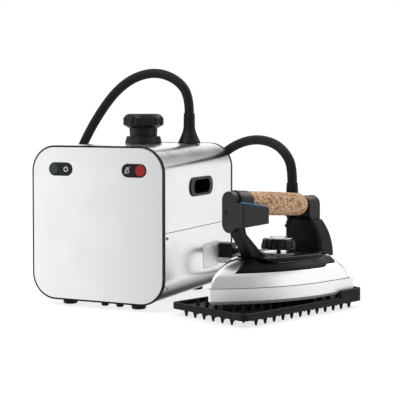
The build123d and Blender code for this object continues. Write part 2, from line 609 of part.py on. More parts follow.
def make_head():
    """The front plate, the switch housing beside the grip and the cap that holds the grip's front end."""
    y0, y1 = HEAD_Y
    low, high = HEAD_Z
    plate = along_y(Pos(0, (low + high) / 2) * SlotOverall(high - low, 2 * HEAD_HALF, rotation=90), y0, y1)
    profile = [(y0, 127), (y0, SWITCH_TOP), (SWITCH_END, switch_top(SWITCH_END)), (SWITCH_END, 130)]
    housing = along_x(profile, *SWITCH_X)
    corners = [e for e in housing.edges().filter_by(Axis.Z) if e.center().X > 20]
    housing = fillet(corners, 2.0)
    bridge = block((0, SWITCH_X[0] + 1), (y0, y1), (127, SWITCH_TOP))
    head = plate + housing + bridge
    a, b = LEVER_Y[0] - 0.6, LEVER_Y[1] + 0.6
    head -= along_x([(a, 130), (a, 170), (b, 170), (b, 132.5)], LEVER_X[0] - 0.4, LEVER_X[1] + 0.4)
    head -= on_pivot(LEVER_X[0] - 1.6, LEVER_X[1] + 1.3, PIVOT_R + 0.3)
    head -= grip_round(GRIP_R + 1.0, y1, -20)
    head -= tube_y(-3, 146, 3.6, y0 - 1, y0 + 3)
    add("switch_housing", head, IRON)
    add("housing_screws", Part() + [
        tube_y(-3, 146, 3.1, y0 + 0.8, y0 + 3),
        extrude(Plane((SWITCH_X[1], -76.5, 143.5), z_dir=(1, 0, 0)) * Circle(1.5), amount=0.4),
    ], IRON)
    cap = grip_round(GRIP_R + 0.3, y1, GRIP_Y[0] - 0.4)
    saddle = block((-POST_HALF, POST_HALF), (y1 + 0.1, GRIP_Y[0] - 1), (139, 150))
    add("grip_cap_front", cap + saddle - grip_round(4.2, -70, -30), IRON)
    add("trigger_switch", block((LEVER_X[0] + 0.4, LEVER_X[1] - 0.4), (-56, -40), (133.5, 143.5)), IRON)


def on_pivot(x0, x1, r):
    """A cylinder along the trigger's hinge."""
    return extrude(Plane((x0, *TRIGGER_PIVOT), z_dir=(1, 0, 0)) * Circle(r), amount=x1 - x0)


def make_trigger():
    """A rocking strip along the housing's sloping top, with a nose that meets the switch below it."""
    top = [(y, switch_top(y) + 1.6) for y in LEVER_Y]
    under = [(y, z - 4.6) for y, z in reversed(top)]
    lever = along_x(top + under, *LEVER_X)
    lever = fillet(lever.edges().filter_by(Axis.X).sort_by(Axis.Z)[-1:], 1.2)
    nose = along_x([(-53, 153), (-44, 153), (-46, 146.6), (-51, 146.6)], LEVER_X[0] + 2, LEVER_X[1] - 2)
    pins = on_pivot(LEVER_X[0] - 1.2, LEVER_X[1] + 0.9, PIVOT_R)
    add("steam_trigger", lever + nose + pins, IRON)


def make_grip():
    y0, y1 = GRIP_Y
    length = y1 - y0
    end = 6.0
    r = GRIP_R
    profile = [
        (4.2, 0), (r - 4.0, 0), (r - 1.2, 2.2), (r - 0.4, end), (r + 0.2, length * 0.35),
        (r + 0.2, length * 0.6), (r - 0.4, length - end - 4), (r - 2.2, length - 4), (r - 5.5, length),
        (4.2, length),
    ]
    add("cork_grip", grip_place(y0) * turned(profile), IRON)
    add("grip_rod", grip_round(4.0, -68, 92), IRON)

    a, b = REAR_CAP_Y
    z = on_grip((a + b) / 2)
    cap = tube_y(0, z, REAR_CAP_R, a, b) + block((-REAR_CAP_R, REAR_CAP_R), (a, b), (REAR_TOP, z))
    cap = fillet(cap.faces().sort_by(Axis.Y)[-1].edges().sort_by(Axis.Z)[1:], 4.5)
    cap -= along_x([(a - 1, REAR_TOP - 1), (a - 1, REAR_TOP + 10), (a + 5, REAR_TOP - 1)], -20, 20)
    add("grip_cap_rear", cap - grip_round(4.2, 70, 93), IRON)


def make_rear_housing():
    def form(shrink):
        sections = []
        for z, y, d, w in REAR_SECTIONS:
            drop = shrink if z == REAR_TOP else 0
            outline = RectangleRounded(w - 2 * shrink, d - 2 * shrink, 6 - shrink)
            sections.append(Pos(0, y, z - drop) * outline)
        return loft(sections)

    x, y = HOSE_IN
    socket = tube_z(x, y, 9.2, BASE_TOP, 122) + tube_z(x, y, 11.3, 113, 117)
    web = block((x, -12), (y - 7, y + 11), (BASE_TOP, 118))
    shell = form(0) + socket + web - form(2.4)
    tray = Pos(0, 0, 60) * iron_outline(BASE_INSET, BASE_HEEL, BASE_CORNER)
    under = dome(0, SHIELD_RISE) + extrude(tray, amount=BASE_TOP - 60)
    add("rear_housing", shell - under, IRON)
    add("terminal_block", block((-18, 18), (84, 98), (BASE_TOP, 98)), IRON)
    r = HOSE_D / 2
    low, high = 122, IRON_BOOT_TOP
    boot = turned((
        (0, low), (r + 0.4, low), (r + 0.4, low + 5.4), (r + 3.4, low + 8.4), (r + 3.2, low + 14),
        (r + 1.8, high - 12), (r + 1.0, high), (0, high),
    ))
    ribs = [tube_z(0, 0, 14, z, z + 1.4, bore=r + 1.0) for z in range(low + 16, int(high) - 8, 6)]
    add("hose_boot_iron", Pos(x, y, 0) * (boot - ribs), IRON)


def make_dial():
    z0, z1 = DIAL_Z
    r = DIAL_R
    skirt = turned((
        (0, z0), (r, z0), (r, z0 + 2.5), (r - 2.6, z1 - 2.4), (r - 4.6, z1 - 1.0), (0, z1 - 1.0),
    ))
    flute = tube_z(r + 1.8, 0, 5.0, z0 + 2.4, z1 + 1)
    skirt -= [Rot(0, 0, 360 / DIAL_LOBES * k) * flute for k in range(DIAL_LOBES)]
    shaft = tube_z(0, 0, 3.0, 52, z0)
    spot = Pos(0, DIAL_Y, 0)
    add("dial_knob", spot * (skirt + shaft), IRON)
    add("dial_disc", spot * tube_z(0, 0, r - 5.0, z1 - 1.0, z1), IRON)
    plate = tube_z(0, 0, DIAL_PLATE_R, BASE_TOP, BASE_TOP + DIAL_PLATE_T, bore=6)
    add("dial_plate", spot * plate, IRON)
    body = block((-15, 15), (-10, 10), (47, 58)) - tube_z(0, 0, 3.3, 50, 60)
    add("thermostat", spot * body, IRON)


make_casing()
make_base()
make_screws()
make_controls()
make_tank()
make_cap()
make_boiler_boot()
make_hose()
make_lead()
make_rest()
make_sole()
make_cover()
make_base_frame()
make_head()
make_trigger()
make_grip()
make_rear_housing()
make_dial()

os.makedirs("parts", exist_ok=True)
for name, shape in nodes.items():
    export_step(shape, f"parts/{name}.step")
print(len(nodes), "nodes; row origin in the boiler's frame:", round(ROW_X, 3), round(ROW_Y, 3))
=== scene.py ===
"""Looks of a steam generator iron: a polished boiler box, a cork-handled iron on its studded rest,
the steam hose between them and the mains lead. Metres, in the row frame: +Y from the front panel to
the back, +X towards the iron.
"""

import json
import math

import bmesh
import bpy
from mathutils import Matrix, Vector


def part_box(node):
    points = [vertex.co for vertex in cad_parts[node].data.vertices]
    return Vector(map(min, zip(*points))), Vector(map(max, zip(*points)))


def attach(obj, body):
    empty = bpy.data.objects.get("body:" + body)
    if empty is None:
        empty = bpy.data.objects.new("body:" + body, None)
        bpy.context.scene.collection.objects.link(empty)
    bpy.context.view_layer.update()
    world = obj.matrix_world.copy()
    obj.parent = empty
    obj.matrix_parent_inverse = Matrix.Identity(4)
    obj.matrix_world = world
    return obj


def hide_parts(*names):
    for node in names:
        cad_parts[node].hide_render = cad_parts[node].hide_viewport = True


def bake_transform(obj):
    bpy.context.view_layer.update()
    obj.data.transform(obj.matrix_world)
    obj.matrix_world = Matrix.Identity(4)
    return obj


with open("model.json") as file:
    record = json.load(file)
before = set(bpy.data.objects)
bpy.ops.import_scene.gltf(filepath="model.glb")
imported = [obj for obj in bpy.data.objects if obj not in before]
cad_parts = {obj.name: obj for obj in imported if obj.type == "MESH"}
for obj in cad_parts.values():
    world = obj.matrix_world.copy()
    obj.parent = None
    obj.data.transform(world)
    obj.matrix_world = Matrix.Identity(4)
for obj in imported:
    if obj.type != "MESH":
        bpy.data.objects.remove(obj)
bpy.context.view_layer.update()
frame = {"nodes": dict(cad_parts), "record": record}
nodes = frame["nodes"]

MM = 0.001
YAW = math.radians(21.8)  # the iron's heel is turned this far to the right
HOSE_D, LEAD_D = 15.0, 7.0


# ---- places, given in millimetres in the frame of the boiler unit or of the iron unit -------------
def middle(node):
    low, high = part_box(node)
    return (low + high) / 2


BOX_X, BOX_Y = middle("front_trim").x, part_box("front_trim")[0].y
REST_X, REST_Y = middle("silicone_rest").xy


def boiler(x, y, z):
    return Vector((BOX_X + x * MM, BOX_Y + y * MM, z * MM))


def iron(x, y, z):
    c, s = math.cos(YAW), math.sin(YAW)
    return Vector((REST_X + (x * c + y * s) * MM, REST_Y + (y * c - x * s) * MM, z * MM))


def boiler_frame():
    return Matrix.Translation(boiler(0, 0, 0)) @ Matrix.Scale(MM, 4)


def iron_frame():
    return Matrix.Translation(iron(0, 0, 0)) @ Matrix.Rotation(-YAW, 4, "Z") @ Matrix.Scale(MM, 4)


# ---- materials ------------------------------------------------------------------------------------
class Net:
    """A node tree with a short way to add nodes to it."""

    def __init__(self, tree):
        self.tree = tree

    def node(self, kind, links=None, **settings):
        made = self.tree.nodes.new("ShaderNode" + kind)
        for key, value in settings.items():
            if hasattr(made, key):
                setattr(made, key, value)
            else:
                made.inputs[key.replace("_", " ")].default_value = value
        for key, source in (links or {}).items():
            self.tree.links.new(source, made.inputs[key])
        return made


class Look(Net):
    """A material whose shader's sockets are set at the start and wired later."""

    def __init__(self, name, color, rough, metallic=0.0, **sockets):
        self.material = bpy.data.materials.new(name)
        self.material.use_nodes = True
        super().__init__(self.material.node_tree)
        self.shader = self.tree.nodes["Principled BSDF"]
        values = {"Base Color": (*color, 1.0), "Roughness": rough, "Metallic": metallic}
        values.update({key.replace("_", " "): value for key, value in sockets.items()})
        for socket, value in values.items():
            self.shader.inputs[socket].default_value = value

    def place(self, space="Object"):
        return self.node("TexCoord").outputs[space]

    def noise(self, scale, detail=3.0):
        made = self.node("TexNoise", {"Vector": self.place()}, Scale=scale, Detail=detail)
        return made.outputs["Fac"]

    def spread(self, value, low, high, start=0.3, end=0.7):
        """Maps a value between start and end to a number between low and high."""
        limits = {"From_Min": start, "From_Max": end, "To_Min": low, "To_Max": high}
        return self.node("MapRange", {"Value": value}, **limits).outputs["Result"]

    def tint(self, value, *stops):
        """A colour ramp: each stop is a place and a colour."""
        ramp = self.node("ValToRGB", {"Fac": value})
        elements = ramp.color_ramp.elements
        while len(elements) < len(stops):
            elements.new(0.5)
        for element, (place, color) in zip(elements, stops):
            element.position = place
            element.color = (*color, 1.0)
        return ramp.outputs["Color"]

    def wire(self, value, socket):
        self.tree.links.new(value, self.shader.inputs[socket])
        return self

    def bump(self, height, strength, distance):
        made = self.node("Bump", {"Height": height}, Strength=strength, Distance=distance)
        return self.wire(made.outputs["Normal"], "Normal")


def polished_steel():
    look = Look("polished_steel", (0.93, 0.93, 0.925), 0.2, metallic=1.0)
    look.wire(look.spread(look.noise(22, detail=5), 0.17, 0.24), "Roughness")
    return look.bump(look.noise(5, detail=1), 0.05, 0.002)


def plain_metal(name, color, rough):
    look = Look(name, color, rough, metallic=1.0)
    look.wire(look.spread(look.noise(90), rough - 0.06, rough + 0.08), "Roughness")
    return look.bump(look.noise(900), 0.12, 0.0003)


def polished_aluminium():
    look = Look("polished_aluminium", (0.95, 0.95, 0.945), 0.3, metallic=1.0)
    look.wire(look.spread(look.noise(35, detail=4), 0.26, 0.34), "Roughness")
    return look.bump(look.noise(14, detail=2), 0.02, 0.001)


def satin_aluminium():
    look = Look("satin_aluminium", (0.96, 0.96, 0.955), 0.36, metallic=0.5)
    look.wire(look.spread(look.noise(60, detail=4), 0.32, 0.40), "Roughness")
    return look.bump(look.noise(1400), 0.05, 0.0002)


def moulded_plastic(name, color, rough, depth=0.25, shine=0.26):
    """Injection-moulded plastic: a fine spark-eroded grain and a slight change of shine."""
    look = Look(name, color, rough, Specular_IOR_Level=shine)
    look.wire(look.spread(look.noise(45, detail=4), rough - 0.06, rough + 0.07), "Roughness")
    return look.bump(look.noise(1600, detail=2), depth, 0.00025)


def rubber(name, color, rough):
    look = Look(name, color, rough, Specular_IOR_Level=0.18, Sheen_Weight=0.02, Sheen_Roughness=0.4)
    look.wire(look.spread(look.noise(70, detail=5), rough - 0.05, rough + 0.08), "Roughness")
    return look.bump(look.noise(1100, detail=4), 0.3, 0.0003)


def braided_sleeve():
    """A textile braid: two families of yarns that cross at an angle, drawn in the tube's own UV."""
    look = Look("braided_sleeve", (0.022, 0.022, 0.023), 0.55, Specular_IOR_Level=0.16, Sheen_Weight=0.02)
    yarns_around = 18
    yarns = []
    for turn in (1, -1):
        split = look.node("SeparateXYZ", {"Vector": look.place("UV")})
        slant = look.node("Math", {0: split.outputs["X"]}, operation="MULTIPLY")
        slant.inputs[1].default_value = turn
        total = look.node("Math", {0: slant.outputs[0], 1: split.outputs["Y"]}, operation="ADD")
        scaled = look.node("Math", {0: total.outputs[0]}, operation="MULTIPLY")
        scaled.inputs[1].default_value = 2 * math.pi * yarns_around
        yarns.append(look.node("Math", {0: scaled.outputs[0]}, operation="SINE").outputs[0])
    weave = look.node("Math", {0: yarns[0], 1: yarns[1]}, operation="MULTIPLY")
    height = look.spread(weave.outputs[0], 0.0, 1.0, -1.0, 1.0)
    look.wire(look.tint(height, (0.0, (0.004, 0.004, 0.004)), (1.0, (0.013, 0.013, 0.013))), "Base Color")
    look.wire(look.spread(height, 0.62, 0.46, 0.0, 1.0), "Roughness")
    return look.bump(height, 0.5, 0.0004)


def webbing():
    """Woven nylon tape with a fine cross rib."""
    look = Look("black_webbing", (0.012, 0.012, 0.012), 0.8, Sheen_Weight=0.15)
    wave = look.node("TexWave", {"Vector": look.place()}, Scale=420.0, Distortion=1.5)
    return look.bump(wave.outputs["Fac"], 0.5, 0.0004)


def cork():
    """Pressed cork: granules of many browns with dark gaps and small pits."""
    look = Look("cork", (0.5, 0.3, 0.17), 0.72, Specular_IOR_Level=0.3)
    warp = look.node("TexNoise", {"Vector": look.place()}, Scale=260.0, Detail=2.0)
    colors = {"Color1": look.place(), "Color2": warp.outputs["Color"]}
    stirred = look.node("MixRGB", colors, blend_type="LINEAR_LIGHT")
    stirred.inputs["Fac"].default_value = 0.0025
    at = {"Vector": stirred.outputs["Color"]}
    cells = look.node("TexVoronoi", at, Scale=400.0, Randomness=1.0)
    gaps = look.node("TexVoronoi", at, Scale=400.0, feature="DISTANCE_TO_EDGE")
    shade = look.node("SeparateColor", {"Color": cells.outputs["Color"]})
    granules = look.tint(
        shade.outputs["Red"],
        (0.0, (0.2, 0.085, 0.042)),
        (0.22, (0.38, 0.19, 0.095)),
        (0.5, (0.54, 0.32, 0.18)),
        (1.0, (0.76, 0.55, 0.37)),
    )
    edge = look.spread(gaps.outputs["Distance"], 0.45, 1.0, 0.0, 0.09)
    dark = look.node("MixRGB", {"Color1": granules, "Color2": edge}, blend_type="MULTIPLY")
    dark.inputs["Fac"].default_value = 0.5
    look.wire(dark.outputs["Color"], "Base Color")
    pits = look.node("Math", {0: edge, 1: look.noise(1300, detail=4)}, operation="MULTIPLY")
    return look.bump(pits.outputs[0], 0.5, 0.0005)


def tinted_lens(name, color):
    """A dark coloured cap, slightly cloudy, under a clear face."""
    look = Look(name, color, 0.12, Specular_IOR_Level=0.3, Coat_Weight=0.35, Coat_Roughness=0.08)
    lighter = tuple(1.5 * c for c in color)
    look.wire(look.tint(look.noise(260, detail=2), (0.35, color), (0.7, lighter)), "Base Color")
    return look.bump(look.noise(420, detail=1), 0.15, 0.0004)


# ---- mesh helpers ---------------------------------------------------------------------------------
def mesh_object(name, bm, look, place=None, smooth=40.0):
    """Makes an object of a bmesh, shaded smooth across edges flatter than the given angle."""
    if place is not None:
        bm.transform(place)
    bmesh.ops.recalc_face_normals(bm, faces=bm.faces)
    mesh = bpy.data.meshes.new(name)
    bm.to_mesh(mesh)
    bm.free()
    mesh.materials.append(look.material)
    mesh.shade_smooth()
    mesh.set_sharp_from_angle(angle=math.radians(smooth))
    made = bpy.data.objects.new(name, mesh)
    bpy.context.scene.collection.objects.link(made)
    return made


def nurbs_points(points, resolution=10):
    """The points of a smooth curve through a cord's route, as Blender draws it."""
    data = bpy.data.curves.new("route", "CURVE")
    data.dimensions = "3D"
    data.resolution_u = resolution
    spline = data.splines.new("NURBS")
    spline.points.add(len(points) - 1)
    for point, at in zip(spline.points, points):
        point.co = (*at, 1.0)
    spline.order_u = 3
    spline.use_endpoint_u = True
    holder = bpy.data.objects.new("route", data)
    mesh = bpy.data.meshes.new_from_object(holder)
    path = [v.co.copy() for v in mesh.vertices]
    bpy.data.objects.remove(holder)
    bpy.data.meshes.remove(mesh)
    bpy.data.curves.remove(data)
    return path


def tube(name, path, radius, look, sides=28):
    """A tube along a path, with rings that don't twist and a UV that keeps its scale."""
    bm = bmesh.new()
    uv = bm.loops.layers.uv.new()
    side = (path[1] - path[0]).normalized().orthogonal().normalized()
    turns = [2 * math.pi * j / sides for j in range(sides)]
    rings, along = [], [0.0]
    for k, at in enumerate(path):
        before = path[max(k - 1, 0)]
        after = path[min(k + 1, len(path) - 1)]
        forward = (after - before).normalized()
        side = (side - forward * side.dot(forward)).normalized()
        up = forward.cross(side)
        rings.append([bm.verts.new(at + radius * (math.cos(t) * side + math.sin(t) * up)) for t in turns])
        if k:
            along.append(along[-1] + (at - before).length)
    around = 2 * math.pi * radius
    for k in range(len(rings) - 1):
        for j in range(sides):
            n = (j + 1) % sides
            face = bm.faces.new((rings[k][j], rings[k][n], rings[k + 1][n], rings[k + 1][j]))
            corners = ((j, k), (j + 1, k), (j + 1, k + 1), (j, k + 1))
            for loop, (u, v) in zip(face.loops, corners):
                loop[uv].uv = (u / sides, along[v] / around)
    bm.faces.new(rings[0][::-1])
    bm.faces.new(rings[-1])
    return mesh_object(name, bm, look), along[-1]


# ---- hose and lead --------------------------------------------------------------------------------
HOSE_OUT, BOOT_TOP = (64, 183), 286
HOSE_OVER_THE_BOX = (
    (*HOSE_OUT, BOOT_TOP), (64, 183, 313), (45, 183, 338), (9, 183, 352), (-31, 183, 346),
    (-67, 184, 324), (-97, 185, 290), (-125, 187, 250), (-149, 191, 207), (-162, 197, 158),
    (-169, 206, 110), (-176, 217, 62.5), (-168, 238, 33.5), (-148, 258, 15), (-122, 272, 7.5),
    (-92, 276.4, 7.5), (-66, 276, 7.5),
)
HOSE_TO_THE_IRON = (
    (-66, 276, 23.4), (-36, 276.4, 23.8), (-8, 278, 36), (12, 282, 62), (26, 285, 98), (33, 286, 138),
    (45, 286, 178), (68, 281, 209), (99, 267, 229), (134, 243, 241), (170, 218, 245), (205, 196, 239),
    (228, 182, 224),
)
HOSE_IN, IRON_BOOT_TOP = (-30.5, 84.5), 180
HOSE_COIL, HOSE_COIL_R = (-66, 360), 84
LEAD_ROUTE = (
    (144, 210, 66.5), (153.5, 210, 66.5), (165, 211, 62), (174, 213, 51.5), (177.5, 217, 37.5),
    (174.5, 224, 23), (165.5, 233, 10.5), (154, 245, 4), (143, 262, 3.5), (135, 282, 3.5), (131.6, 304, 3.5),
    (131.5, 326, 3.5),
)
LEAD_COIL, LEAD_COIL_R, LEAD_LAYER = (84, 326), (47.5, 33.5), 7.2
LEAD_TURNS, LEAD_TOP = 3, 3.5 + LEAD_LAYER
PLUG_TAIL_END = (119, 354.5, 15.5)


def ease(t, start, end):
    """0 before start, 1 after end, and a smooth rise between."""
    x = min(max((t - start) / (end - start), 0.0), 1.0)
    return x * x * (3 - 2 * x)


def hose_coil():
    """Two turns: the second lies inside the first, and climbs over it on its way out."""
    steps = 14
    points = []
    for k in range(1, 2 * steps):
        t = k / steps
        r = HOSE_COIL_R - HOSE_D * ease(t, 0.7, 1.1) + HOSE_D * ease(t, 1.62, 1.97)
        z = HOSE_D / 2 + (HOSE_D + 0.9) * ease(t, 1.42, 1.75)
        turn = 2 * math.pi * (t - 0.25)
        points.append((HOSE_COIL[0] + r * math.cos(turn), HOSE_COIL[1] + r * math.sin(turn), z))
    return points


def steam_hose(look):
    entry = iron(*HOSE_IN, 204), iron(*HOSE_IN, IRON_BOOT_TOP)
    over, back = ([boiler(*p) for p in part] for part in (HOSE_OVER_THE_BOX, HOSE_TO_THE_IRON))
    wound = [boiler(*p) for p in hose_coil()]
    path = nurbs_points([*over, *wound, *back, *entry])
    hose, length = tube("steam_hose", path, HOSE_D / 2 * MM, look)
    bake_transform(hose)
    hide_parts("steam_hose_front", "steam_hose_coil", "steam_hose_rear")
    return hose, path, length


def lead_coil():
    """Three turns side by side on the floor, inwards, and three on top of them, outwards again."""
    steps = 14
    outer, inner = LEAD_COIL_R
    points = []
    for k in range(1, 2 * LEAD_TURNS * steps - 1):
        t = k / steps
        inwards = min(t, 2 * LEAD_TURNS - t) / LEAD_TURNS
        r = outer + (inner - outer) * inwards
        z = LEAD_D / 2 + LEAD_LAYER * ease(t, LEAD_TURNS - 0.3, LEAD_TURNS + 0.3)
        turn = 2 * math.pi * t
        points.append((LEAD_COIL[0] + r * math.cos(turn), LEAD_COIL[1] + r * math.sin(turn), z))
    return points


def mains_lead(look):
    last = ((131.5, 326, LEAD_TOP), (131, 338, LEAD_TOP + 0.3), (127, 348, 12.6), PLUG_TAIL_END)
    route = [boiler(*p) for p in (*LEAD_ROUTE, *lead_coil(), *last)]
    path = nurbs_points(route, 8)
    lead, length = tube("mains_lead_flex", path, LEAD_D / 2 * MM, look, sides=14)
    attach(lead, "boiler")
    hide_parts("mains_lead", "mains_lead_coil")
    return lead, path, length


# ---- small pieces ---------------------------------------------------------------------------------
def arc(r, start, end, steps=24):
    """Points on a circle, from one angle to another in degrees."""
    turns = [math.radians(start + (end - start) * k / steps) for k in range(steps + 1)]
    return [(r * math.cos(t), r * math.sin(t)) for t in turns]


def ribbons(strokes, width, thickness):
    """Flat strips that follow polylines drawn in x and y, and stand on z = 0."""
    bm = bmesh.new()
    profile = ((-1, 0), (1, 0), (1, thickness), (-1, thickness))
    for stroke in strokes:
        path = [Vector((x, y, 0)) for x, y in stroke]
        rows = []
        for k, at in enumerate(path):
            way = (path[min(k + 1, len(path) - 1)] - path[max(k - 1, 0)]).normalized()
            side = Vector((-way.y, way.x, 0)) * width / 2
            rows.append([bm.verts.new(at + s * side + Vector((0, 0, h))) for s, h in profile])
        for a, b in zip(rows, rows[1:]):
            for j in range(4):
                n = (j + 1) % 4
                bm.faces.new((a[j], a[n], b[n], b[j]))
        bm.faces.new(rows[0][::-1])
        bm.faces.new(rows[-1])
    return bm


def rounded_loop(width, height, corner, steps=6):
    """A rounded rectangle about the origin, as a closed list of points."""
    points = []
    for sx, sy, start in ((1, -1, -90), (1, 1, 0), (-1, 1, 90), (-1, -1, 180)):
        cx, cy = sx * (width / 2 - corner), sy * (height / 2 - corner)
        points += [(cx + x, cy + y) for x, y in arc(corner, start, start + 90, steps)]
    return points


def plate(outline, thickness, bevel):
    """A flat plate with a bevelled upper edge."""
    bm = bmesh.new()
    face = bm.faces.new([bm.verts.new((x, y, 0)) for x, y in outline])
    made = bmesh.ops.extrude_face_region(bm, geom=[face])
    top = [v for v in made["geom"] if isinstance(v, bmesh.types.BMVert)]
    bmesh.ops.translate(bm, verts=top, vec=(0, 0, thickness))
    rim = [e for e in bm.edges if all(v.co.z > thickness / 2 for v in e.verts)]
    bmesh.ops.bevel(bm, geom=rim, offset=bevel, segments=2, affect="EDGES")
    return bm


def strap(outline, width, thickness):
    """A band that goes once round an outline drawn in x and z, and is as wide as given in y."""
    bm = bmesh.new()
    rows = []
    for k, (x, z) in enumerate(outline):
        before, after = outline[k - 1], outline[(k + 1) % len(outline)]
        out = Vector((after[1] - before[1], 0, before[0] - after[0])).normalized() * thickness
        at, aside = Vector((x, 0, z)), Vector((0, width / 2, 0))
        corners = (at - aside, at + out - aside, at + out + aside, at + aside)
        rows.append([bm.verts.new(corner) for corner in corners])
    for a, b in zip(rows, [*rows[1:], rows[0]]):
        for j in range(4):
            n = (j + 1) % 4
            bm.faces.new((a[j], a[n], b[n], b[j]))
    return bm


BEAD_W, BEAD_CORNER = 0.9, 37.0
SYMBOL_Y, SYMBOL_Z = -2.0, 203  # in front of the lamp bezels, at the height of their middles
PLATE_W, PLATE_H, PLATE_T = 58, 40, 0.3
FACING_FRONT = Matrix.Rotation(math.pi / 2, 4, "X")
FACING_RIGHT = Matrix.Rotation(math.pi / 2, 4, "Z") @ FACING_FRONT


def lamp_symbols():
    """The power sign, and a crossed-out drop for an empty tank."""
    power = ribbons([arc(3.3, 118, 422), [(0, 1.0), (0, 4.4)]], 0.95, 0.12)
    drop_side = [(0, 5.2), (1.4, 2.6), (2.7, 0.4), (2.9, -1.6), (1.8, -3.3), (0, -3.9)]
    drop_line = drop_side + [(-x, y) for x, y in reversed(drop_side[:-1])]
    drop = ribbons([drop_line, [(-4.2, -4.4), (4.2, 5.4)]], 0.62, 0.12)
    for name, x, bm in (("power_symbol", -50.8, power), ("no_water_symbol", 51.9, drop)):
        place = boiler_frame() @ Matrix.Translation((x, SYMBOL_Y, SYMBOL_Z)) @ FACING_FRONT
        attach(mesh_object(name, bm, white_print, place), "boiler")


def panel_bead():
    """The thin black bead round the front panel's edge."""
    low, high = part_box("front_panel")
    size = (high - low) / MM
    line = rounded_loop(size.x - BEAD_W, size.z - BEAD_W, BEAD_CORNER, 10)
    centre = ((low + high) / 2 - boiler(0, 0, 0)) / MM
    front = (low.y - BOX_Y) / MM
    place = boiler_frame() @ Matrix.Translation((centre.x, front, centre.z)) @ FACING_FRONT
    bm = ribbons([[*line, line[0]]], BEAD_W, 0.3)
    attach(mesh_object("panel_bead", bm, black_rubber, place), "boiler")


def rating_plate():
    """A blank plate with a thin printed border, low on the right side."""
    place = boiler_frame() @ Matrix.Translation((109.9, 164, 65.6)) @ FACING_RIGHT
    bm = plate(rounded_loop(PLATE_W, PLATE_H, 2), PLATE_T, 0.1)
    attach(mesh_object("rating_plate", bm, label_silver, place), "boiler")
    line = rounded_loop(PLATE_W - 4, PLATE_H - 4, 1)
    border = ribbons([[*line, line[0]]], 0.35, 0.05)
    place = place @ Matrix.Translation((0, 0, PLATE_T))
    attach(mesh_object("rating_plate_border", border, grey_print, place), "boiler")


def coil_ties():
    """Hook-and-loop straps on the hose coil, and rubber ties on the lead coil."""
    straps = (  # name, coil, its middle radius, section, width, thickness, places round the coil, look
        ("hose_strap", HOSE_COIL, 76.5, (31.4, 16.2), 12, 1.1, (54, -18), black_webbing),
        ("lead_tie", LEAD_COIL, 40.5, (21.8, 14.4), 4, 0.7, (205, 318), black_rubber),
    )
    for name, middle_at, r, (w, h), width, thickness, turns, look in straps:
        for turn in turns:
            bm = strap(rounded_loop(w, h, 6), width, thickness)
            c, s = math.cos(math.radians(turn)), math.sin(math.radians(turn))
            at = Matrix.Translation((middle_at[0] + r * c, middle_at[1] + r * s, h / 2 + thickness))
            place = boiler_frame() @ at @ Matrix.Rotation(math.radians(turn), 4, "Z")
            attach(mesh_object(f"{name}_{turn % 360}", bm, look, place), "boiler")


def cap_rings():
    """Raised rings moulded in the top of the filler cap."""
    bm = ribbons([arc(r, 0, 360, 48) for r in (9, 15, 21)], 1.4, 0.5)
    place = boiler_frame() @ Matrix.Translation((2, 145, 281.8))
    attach(mesh_object("cap_rings", bm, black_plastic, place), "cap_knob")


DIAL_Y, DIAL_TOP = 21, 104.5


def dial_marks():
    """Printed steps on the tray round the dial, a line on the dial's plate, and the mark on the dial."""
    steps = [arc(28.2, start, start + 9 + 3 * k, 8) for k, start in enumerate(range(-160, 150, 30))]
    ring = [arc(23.4, 0, 360, 60)]
    tray_top, plate_top = (corner.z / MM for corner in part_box("dial_plate"))
    printed = (("dial_scale", steps, tray_top, grey_print), ("dial_ring", ring, plate_top, black_print))
    for name, strokes, z, look in printed:
        place = iron_frame() @ Matrix.Translation((0, DIAL_Y, z))
        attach(mesh_object(name, ribbons(strokes, 1.2, 0.1), look, place), "iron")
    mark = ribbons([[(0, -20), (0, -15)], arc(13, 0, 360, 40)], 1.1, 0.25)
    place = iron_frame() @ Matrix.Translation((0, DIAL_Y, DIAL_TOP))
    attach(mesh_object("dial_mark", mark, grey_print, place), "dial")


# ---- the iron's polished cover --------------------------------------------------------------------
SOLE_HALF, SOLE_SIDE_R, SOLE_TANGENT_Y, SOLE_NOSE_HALF = 66.0, 247.6, 46.0, 3.0
SOLE_TOP = 43.0
COVER_RINGS = (  # how far inside the sole's edge, where the heel is, and the height
    (1.9, 108.1, 43.5), (1.6, 108.4, 44.2), (3.0, 107.0, 51.0), (5.5, 104.5, 58.0), (9.5, 101.5, 63.5),
    (15.0, 98.5, 69.0), (22.0, 95.5, 74.0), (31.0, 91.0, 77.5), (38.0, 84.0, 79.0),
)
TRAY_CORNER = 31
# painted highlights: light grey beads that stand for the shine along the tray's rounded edges
TRAY_HIGHLIGHT_BEADS = (  # name, height, where its front ends, how far inside the sole's edge, and width
    ("tray_rim_highlight", 81.45, -40, 19.2, 1.5), ("tray_lip_highlight", 74.2, -22, 18.0, 1.6),
)
SIDE_STEPS, FLANK_STEPS, CORNER_STEPS = 30, 4, 8


def iron_outline(inset, heel, corner):
    """Half of the sole's outline, nose to middle of the heel: a long arc, a flank and a round corner."""
    r, cx = SOLE_SIDE_R - inset, SOLE_HALF - SOLE_SIDE_R
    half = SOLE_HALF - inset
    tip = SOLE_TANGENT_Y - math.sqrt(r**2 - (SOLE_NOSE_HALF - cx) ** 2)
    end = math.atan2(SOLE_TANGENT_Y - tip, SOLE_NOSE_HALF - cx)
    turns = [end * (1 - k / SIDE_STEPS) for k in range(SIDE_STEPS + 1)]
    points = [(0, tip - 1.6), (SOLE_NOSE_HALF * 0.6, tip - 1.1)]
    points += [(cx + r * math.cos(t), SOLE_TANGENT_Y - r * math.sin(t)) for t in turns]
    flank = heel - corner - SOLE_TANGENT_Y
    points += [(half, SOLE_TANGENT_Y + flank * k / FLANK_STEPS) for k in range(1, FLANK_STEPS)]
    points += [(half - corner + x, heel - corner + y) for x, y in arc(corner, 0, 90, CORNER_STEPS)]
    return [*points, ((half - corner) / 2, heel)]


